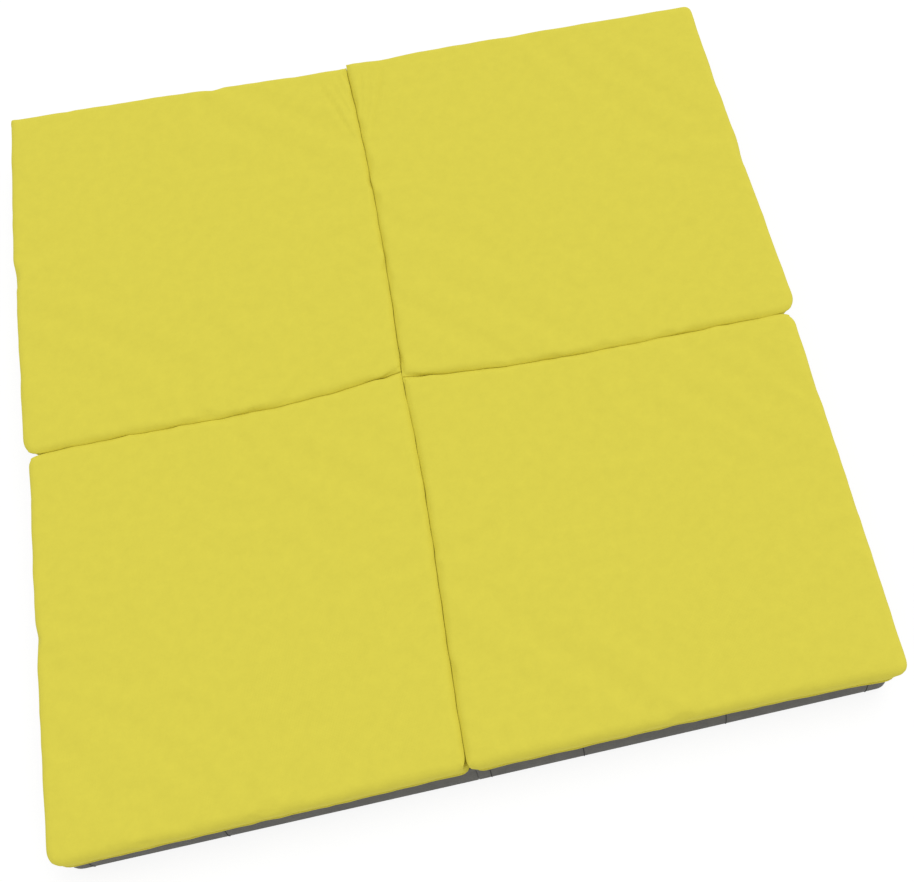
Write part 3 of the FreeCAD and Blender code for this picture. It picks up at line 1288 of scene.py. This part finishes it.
@dataclass
class PanelZip:
    """Zip in the outer wall of one panel; its tapes, slider and pull come from the frame."""

    name: str
    side: Side
    finishes: Finishes
    tooth_pitch: float = 2.4 * MM
    tooth_length: float = 1.5 * MM
    tooth_reach: float = 2.0 * MM
    tooth_overlap: float = 0.4 * MM
    taper: float = 0.25 * MM
    first_tooth: float = 0.15
    stop_length: float = 3 * MM

    def build(self) -> None:
        """Dress the framed pieces and build the row of teeth."""
        for part in ("zip_tape_upper", "zip_tape_lower"):
            dress_node(f"{self.name}_{part}", self.finishes.tape)
        for part in ("zip_slider", "zip_pull"):
            dress_node(f"{self.name}_{part}", self.finishes.metal)
        self.teeth()

    def teeth(self) -> None:
        """Build two rows of interlocking nylon teeth with a stop at each end."""
        low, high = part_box(f"{self.name}_zip_coil")
        inner, outer = (low.x, high.x) if self.side is Side.RIGHT else (high.x, low.x)
        middle = (low.z + high.z) / 2
        stop, reach, overlap = self.stop_length, self.tooth_reach, self.tooth_overlap
        verts, faces = [], []

        def add(y0: float, y1: float, z0: float, z1: float, face: float) -> None:
            """Add one tapered tooth or stop.

            Args:
                y0: Its front end.
                y1: Its back end.
                z0: Its underside.
                z1: Its top.
                face: Where its outer face lies across the pad.
            """
            start = len(verts)
            for x, s in ((inner, 0.0), (face, self.taper)):
                verts.extend([(x, y0 + s, z0 + s), (x, y1 - s, z0 + s)])
                verts.extend([(x, y1 - s, z1 - s), (x, y0 + s, z1 - s)])
            quads = [(0, 1, 2, 3), (7, 6, 5, 4), (0, 4, 5, 1), (1, 5, 6, 2), (2, 6, 7, 3), (3, 7, 4, 0)]
            faces.extend(tuple(start + i for i in q) for q in quads)

        count = int((high.y - low.y - 2 * stop) / self.tooth_pitch)
        for i in range(count):
            y = low.y + stop + (i + self.first_tooth) * self.tooth_pitch
            add(y, y + self.tooth_length, middle - reach, middle + overlap, outer)
            half = y + self.tooth_pitch / 2
            add(half, half + self.tooth_length, middle - overlap, middle + reach, outer)
        for y0 in (low.y, high.y - stop):
            add(y0, y0 + stop, low.z, high.z, outer)
        if self.side is Side.LEFT:
            faces[:] = [tuple(reversed(f)) for f in faces]
        piece = new_mesh(self.name + "_zip_teeth", np.array(verts), faces, smooth=False)
        piece.data.materials.append(self.finishes.nylon)
        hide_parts(f"{self.name}_zip_coil")
        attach(piece, "panel_" + self.name)
        log.info("%s with %d pairs", piece.name, count)


def dress_node(node: str, finish: bpy.types.Material) -> None:
    """Give a framed piece a better material.

    Args:
        node: Name of the piece.
        finish: Its material.
    """
    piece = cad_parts[node]
    piece.data.materials.clear()
    piece.data.materials.append(finish)
    log.info("%s dressed", node)


# ---------------------------------------------------------------- stage


@dataclass
class Stage:
    """Floor, daylight and camera."""

    camera_place: tuple[float, float, float] = (0.0890, -0.7603, 1.7127)
    camera_turn: tuple[float, float, float] = (20.2102, 1.4223, -11.5167)
    lens: float = 45.29
    shift: tuple[float, float] = (-0.0889, 0.0117)
    sky_strength: float = 0.78
    sun_strength: float = 0.86
    sun_turn: tuple[float, float, float] = (-24.0, 22.0, 0.0)
    sun_softness: float = 40.0
    floor_half: float = 12.0
    floor_drop: float = 0.3 * MM
    floor_bounce: float = 0.85
    floor_seen: float = 0.20
    floor_glow: float = 0.83

    def build(self) -> None:
        """Build the stage."""
        self.floor()
        self.sky()
        self.sun()
        self.camera()

    def floor(self) -> None:
        """Plain pale floor that keeps the pad's soft shadow."""
        size = self.floor_half
        verts = np.array([(-size, -size, 0), (size, -size, 0), (size, size, 0), (-size, size, 0)], float)
        verts[:, 2] -= self.floor_drop
        floor = new_mesh("floor", verts, [(0, 1, 2, 3)])
        mat, nodes, links, shader = blank_material("pale_floor")
        shader.inputs["Roughness"].default_value = 1.0
        shader.inputs["Specular IOR Level"].default_value = 0.0
        glow = nodes.new("ShaderNodeLightPath")
        shade = nodes.new("ShaderNodeMath")
        shade.operation = "MULTIPLY_ADD"
        shade.inputs[1].default_value = self.floor_seen - self.floor_bounce
        shade.inputs[2].default_value = self.floor_bounce
        links.new(glow.outputs["Is Camera Ray"], shade.inputs[0])
        links.new(shade.outputs[0], shader.inputs["Base Color"])
        shader.inputs["Emission Color"].default_value = (1, 1, 1, 1)
        lift = nodes.new("ShaderNodeMath")
        lift.operation = "MULTIPLY"
        lift.inputs[1].default_value = self.floor_glow
        links.new(glow.outputs["Is Camera Ray"], lift.inputs[0])
        links.new(lift.outputs[0], shader.inputs["Emission Strength"])
        floor.data.materials.append(mat)

    def sky(self) -> None:
        """White surroundings, softer as a light than as a background."""
        world = bpy.data.worlds.new("white_room")
        bpy.context.scene.world = world
        world.use_nodes = True
        nodes, links = world.node_tree.nodes, world.node_tree.links
        nodes.clear()
        out = nodes.new("ShaderNodeOutputWorld")
        light = nodes.new("ShaderNodeBackground")
        light.inputs["Strength"].default_value = self.sky_strength
        seen = nodes.new("ShaderNodeBackground")
        seen.inputs["Strength"].default_value = 1.0
        for back in (light, seen):
            back.inputs["Color"].default_value = (1, 1, 1, 1)
        path = nodes.new("ShaderNodeLightPath")
        either = nodes.new("ShaderNodeMath")
        either.operation = "MAXIMUM"
        links.new(path.outputs["Is Camera Ray"], either.inputs[0])
        links.new(path.outputs["Is Glossy Ray"], either.inputs[1])
        any_of = nodes.new("ShaderNodeMath")
        any_of.operation = "MAXIMUM"
        links.new(either.outputs[0], any_of.inputs[0])
        links.new(path.outputs["Is Transmission Ray"], any_of.inputs[1])
        mix = nodes.new("ShaderNodeMixShader")
        links.new(any_of.outputs[0], mix.inputs["Fac"])
        links.new(light.outputs[0], mix.inputs[1])
        links.new(seen.outputs[0], mix.inputs[2])
        links.new(mix.outputs[0], out.inputs["Surface"])

    def sun(self) -> None:
        """Soft light from behind on the right."""
        data = bpy.data.lights.new("soft_sun", "SUN")
        data.energy = self.sun_strength
        data.angle = math.radians(self.sun_softness)
        sun = bpy.data.objects.new("soft_sun", data)
        sun.rotation_euler = Euler([math.radians(a) for a in self.sun_turn])
        bpy.context.scene.collection.objects.link(sun)

    def camera(self) -> None:
        """Camera high in front of the pad."""
        data = bpy.data.cameras.new("camera")
        data.sensor_width = 36.0
        data.lens = self.lens
        data.shift_x, data.shift_y = self.shift
        camera = bpy.data.objects.new("camera", data)
        camera.location = self.camera_place
        camera.rotation_euler = Euler([math.radians(a) for a in self.camera_turn])
        bpy.context.scene.collection.objects.link(camera)
        bpy.context.scene.camera = camera
        bpy.context.scene.view_settings.view_transform = "Standard"


# ---------------------------------------------------------------- main


def main() -> None:
    """Build the pad piece by piece."""
    logging.basicConfig(level=logging.INFO, format="%(message)s")
    finishes = Finishes()
    panels = {}
    for row in (Row.REAR, Row.FRONT):
        for side in Side:
            name = f"{row.name.lower()}_{side.name.lower()}"
            panels[name] = SoftPanel(name, side, row, finishes)
            panels[name].build()
            PanelZip(name, side, finishes).build()
    FoldWebs(finishes, panels).build()
    Stage().build()


if __name__ == "__main__":
    main()
